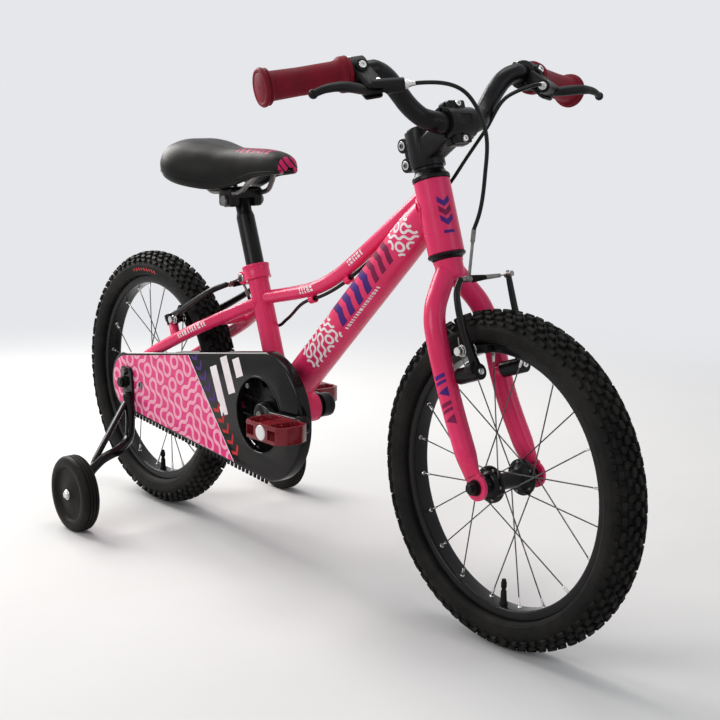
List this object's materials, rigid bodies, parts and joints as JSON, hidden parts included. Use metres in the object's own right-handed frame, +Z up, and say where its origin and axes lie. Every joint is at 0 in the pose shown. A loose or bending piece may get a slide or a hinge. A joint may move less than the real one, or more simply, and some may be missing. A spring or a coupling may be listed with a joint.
{
  "type": "child's bicycle with training wheels",
  "caption": "Small two-wheeled bicycle with a low curved frame, chain drive under a guard, two rim brakes worked by hand levers, and a small steadying wheel on each side.",
  "frame": {"origin": "on the floor under the middle of the bicycle's length and width", "axes": "+X forward to the front wheel, +Y to the bicycle's left, +Z up; the chain and its guard are on the -Y side"},
  "size_m": [1.153, 0.4882, 0.6691],
  "materials": {
    "pink_paint": "satin",
    "black_paint": "satin",
    "black_metal": "satin, anodised black",
    "bright_steel": "bright plated",
    "dark_steel": "oiled, lightly worn",
    "grip_rubber": "soft, ribbed",
    "tyre_rubber": "knobby",
    "black_rubber": "matt",
    "black_plastic": "matt",
    "gloss_plastic": "gloss with a printed pattern",
    "red_plastic": "tinted, slightly see-through",
    "saddle_skin": "grained, semi-gloss",
    "cable_skin": "smooth"
  },
  "bodies": {
    "frame": {"frame": "pink_paint", "headset_upper_cup": "black_metal", "headset_lower_cup": "black_metal", "bb_cup_right": "black_metal", "bb_cup_left": "black_metal", "seat_clamp": "pink_paint", "seat_clamp_bolt": "bright_steel", "chain_guard": "gloss_plastic", "chain": "dark_steel", "rear_brake_cable": "cable_skin", "training_bracket_right": "black_paint", "training_bracket_left": "black_paint", "rear_axle": "bright_steel", "training_axle_right": "bright_steel", "training_axle_left": "bright_steel"},
    "steering": {"fork": "pink_paint", "stem": "black_metal", "stem_faceplate": "black_metal", "handlebar": "black_paint", "grip_right": "grip_rubber", "grip_left": "grip_rubber", "lever_bracket_right": "black_plastic", "lever_bracket_left": "black_plastic", "front_brake_cable": "cable_skin", "steerer_cap": "black_metal", "front_axle": "bright_steel"},
    "lever_right": {"lever_right": "black_metal"},
    "lever_left": {"lever_left": "black_metal"},
    "front_wheel": {"front_hub": "black_metal", "front_rim": "black_metal", "front_tyre": "tyre_rubber", "front_valve": "black_rubber"},
    "rear_wheel": {"rear_hub": "black_metal", "rear_rim": "black_metal", "rear_tyre": "tyre_rubber", "rear_valve": "black_rubber"},
    "sprocket": {"rear_sprocket": "dark_steel"},
    "crank": {"crank_spindle": "bright_steel", "crank_arm_right": "black_paint", "crank_arm_left": "black_paint", "chainring": "dark_steel", "pedal_spindle_right": "bright_steel", "pedal_spindle_left": "bright_steel"},
    "pedal_right": {"pedal_right": "red_plastic"},
    "pedal_left": {"pedal_left": "red_plastic"},
    "training_wheel_right": {"training_wheel_right": "black_plastic"},
    "training_wheel_left": {"training_wheel_left": "black_plastic"},
    "front_brake_arm_right": {"front_brake_arm_right": "black_metal", "front_brake_pad_right": "black_rubber"},
    "front_brake_arm_left": {"front_brake_arm_left": "black_metal", "front_brake_pad_left": "black_rubber"},
    "rear_brake_arm_right": {"rear_brake_arm_right": "black_metal", "rear_brake_pad_right": "black_rubber"},
    "rear_brake_arm_left": {"rear_brake_arm_left": "black_metal", "rear_brake_pad_left": "black_rubber"},
    "seat_post": {"seat_post": "black_paint"},
    "saddle": {"saddle_cover": "saddle_skin", "saddle_base": "black_plastic", "saddle_rails": "black_paint", "saddle_clamp": "black_metal"}
  },
  "joints": [
    {"name": "steering", "type": "hinge", "parent": "frame", "child": "steering", "pos_m": [0.27303, 0, 0.44606], "axis": [-0.319, 0, 0.9478], "range_deg": [-60, 60], "deforming": ["rear_brake_cable"]},
    {"name": "front_wheel_spin", "type": "hinge", "parent": "steering", "child": "front_wheel", "pos_m": [0.38, 0, 0.19655], "axis": [0, 1, 0], "continuous": true},
    {"name": "rear_wheel_spin", "type": "hinge", "parent": "frame", "child": "rear_wheel", "pos_m": [-0.38, 0, 0.19655], "axis": [0, 1, 0], "continuous": true},
    {"name": "crank_spin", "type": "hinge", "parent": "frame", "child": "crank", "pos_m": [-0.027, 0, 0.2075], "axis": [0, 1, 0], "continuous": true, "deforming": ["chain"]},
    {"name": "sprocket_spin", "type": "hinge", "parent": "frame", "child": "sprocket", "pos_m": [-0.38, 0, 0.19655], "axis": [0, 1, 0], "continuous": true},
    {"name": "pedal_right_spin", "type": "hinge", "parent": "crank", "child": "pedal_right", "pos_m": [0.08173, 0, 0.2151], "axis": [0, 1, 0], "continuous": true},
    {"name": "pedal_left_spin", "type": "hinge", "parent": "crank", "child": "pedal_left", "pos_m": [-0.13573, 0, 0.1999], "axis": [0, 1, 0], "continuous": true},
    {"name": "training_wheel_right_spin", "type": "hinge", "parent": "frame", "child": "training_wheel_right", "pos_m": [-0.319, -0.185, 0.05531], "axis": [0, 1, 0], "continuous": true},
    {"name": "training_wheel_left_spin", "type": "hinge", "parent": "frame", "child": "training_wheel_left", "pos_m": [-0.319, 0.185, 0.05531], "axis": [0, 1, 0], "continuous": true},
    {"name": "lever_right_pull", "type": "hinge", "parent": "steering", "child": "lever_right", "pos_m": [0.29808, -0.12736, 0.63335], "axis": [-0.4837, 0.2533, -0.8378], "range_deg": [0, 12], "stiffness_Nm_per_rad": 0.6, "springref_deg": -20.05},
    {"name": "lever_left_pull", "type": "hinge", "parent": "steering", "child": "lever_left", "pos_m": [0.29808, 0.12736, 0.63335], "axis": [0.4837, 0.2533, 0.8378], "range_deg": [0, 12], "stiffness_Nm_per_rad": 0.6, "springref_deg": -20.05},
    {"name": "front_brake_right_swing", "type": "hinge", "parent": "steering", "child": "front_brake_arm_right", "pos_m": [0.35332, -0.04, 0.32035], "axis": [-0.9478, 0, -0.319], "range_deg": [0, 3.3], "deforming": ["front_brake_cable"]},
    {"name": "front_brake_left_swing", "type": "hinge", "parent": "steering", "child": "front_brake_arm_left", "pos_m": [0.35332, 0.04, 0.32035], "axis": [0.9478, 0, 0.319], "range_deg": [0, 3.3]},
    {"name": "rear_brake_right_swing", "type": "hinge", "parent": "frame", "child": "rear_brake_arm_right", "pos_m": [-0.29555, -0.04, 0.2933], "axis": [-0.4226, 0, 0.9063], "range_deg": [0, 3.3]},
    {"name": "rear_brake_left_swing", "type": "hinge", "parent": "frame", "child": "rear_brake_arm_left", "pos_m": [-0.29555, 0.04, 0.2933], "axis": [0.4226, 0, -0.9063], "range_deg": [0, 3.3]},
    {"name": "seat_post_slide", "type": "slide", "parent": "frame", "child": "seat_post", "axis": [-0.3338, 0, 0.9426], "range_m": [-0.05, 0.03]},
    {"name": "saddle_tilt", "type": "hinge", "parent": "seat_post", "child": "saddle", "pos_m": [-0.15028, 0, 0.48464], "axis": [0, 1, 0], "range_deg": [-8, 8]}
  ],
  "couplings": [
    {"joint": "sprocket_spin", "follows": "crank_spin", "ratio": 2},
    {"joint": "front_brake_right_swing", "follows": "lever_right_pull", "ratio": 0.27},
    {"joint": "front_brake_left_swing", "follows": "lever_right_pull", "ratio": 0.27},
    {"joint": "rear_brake_right_swing", "follows": "lever_left_pull", "ratio": 0.27},
    {"joint": "rear_brake_left_swing", "follows": "lever_left_pull", "ratio": 0.27}
  ]
}
